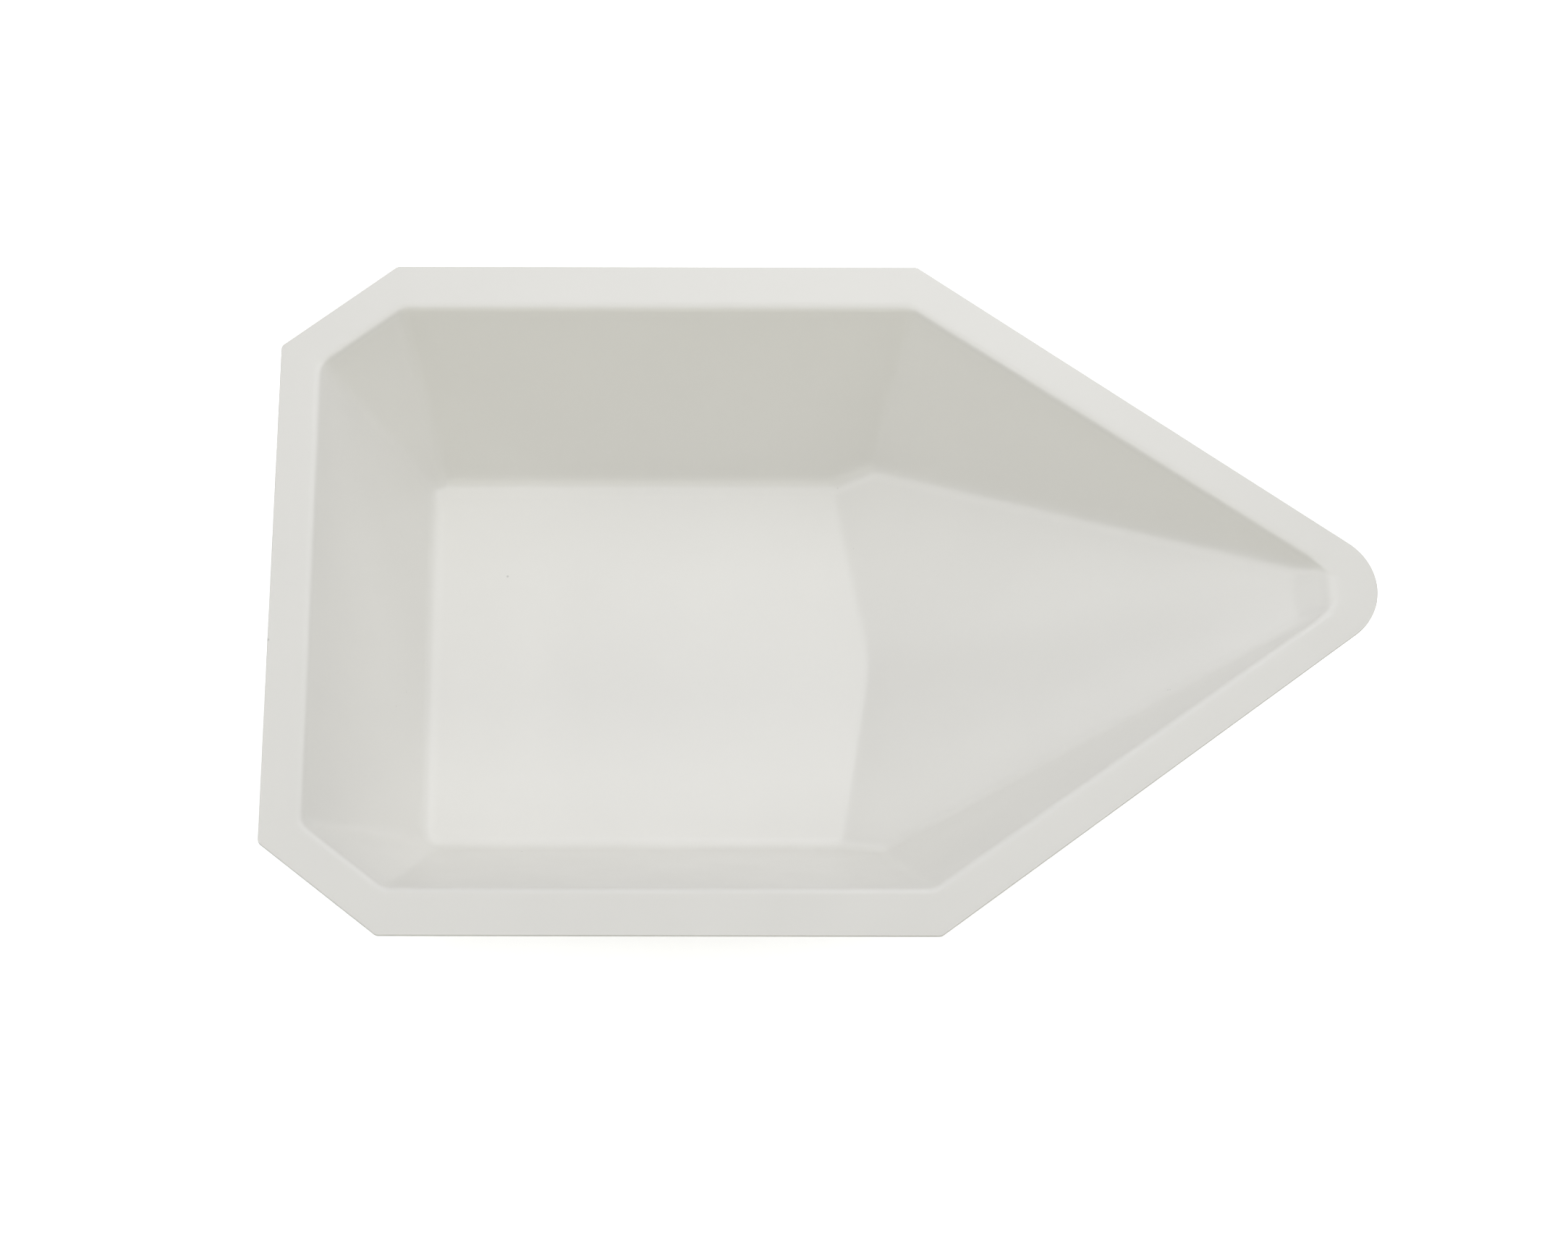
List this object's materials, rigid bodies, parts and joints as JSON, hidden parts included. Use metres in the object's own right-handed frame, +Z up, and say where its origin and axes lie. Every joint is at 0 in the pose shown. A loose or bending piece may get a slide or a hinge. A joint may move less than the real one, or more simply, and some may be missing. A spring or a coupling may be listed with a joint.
{
  "type": "weighing boat",
  "caption": "Shallow one-piece weighing boat of thin white plastic, with a flat rim, a flat floor and a ramp that rises to a rounded pouring nose.",
  "frame": {"origin": "on the bench, under the middle of the boat's length and width", "axes": "+X along the boat to the tip of the pouring nose, +Y across the boat, +Z up out of the pan"},
  "size_m": [0.0966, 0.063, 0.0186],
  "materials": {
    "sheet": "smooth white polystyrene sheet with a satin skin"
  },
  "bodies": {
    "root": {"boat": "sheet"}
  },
  "joints": []
}
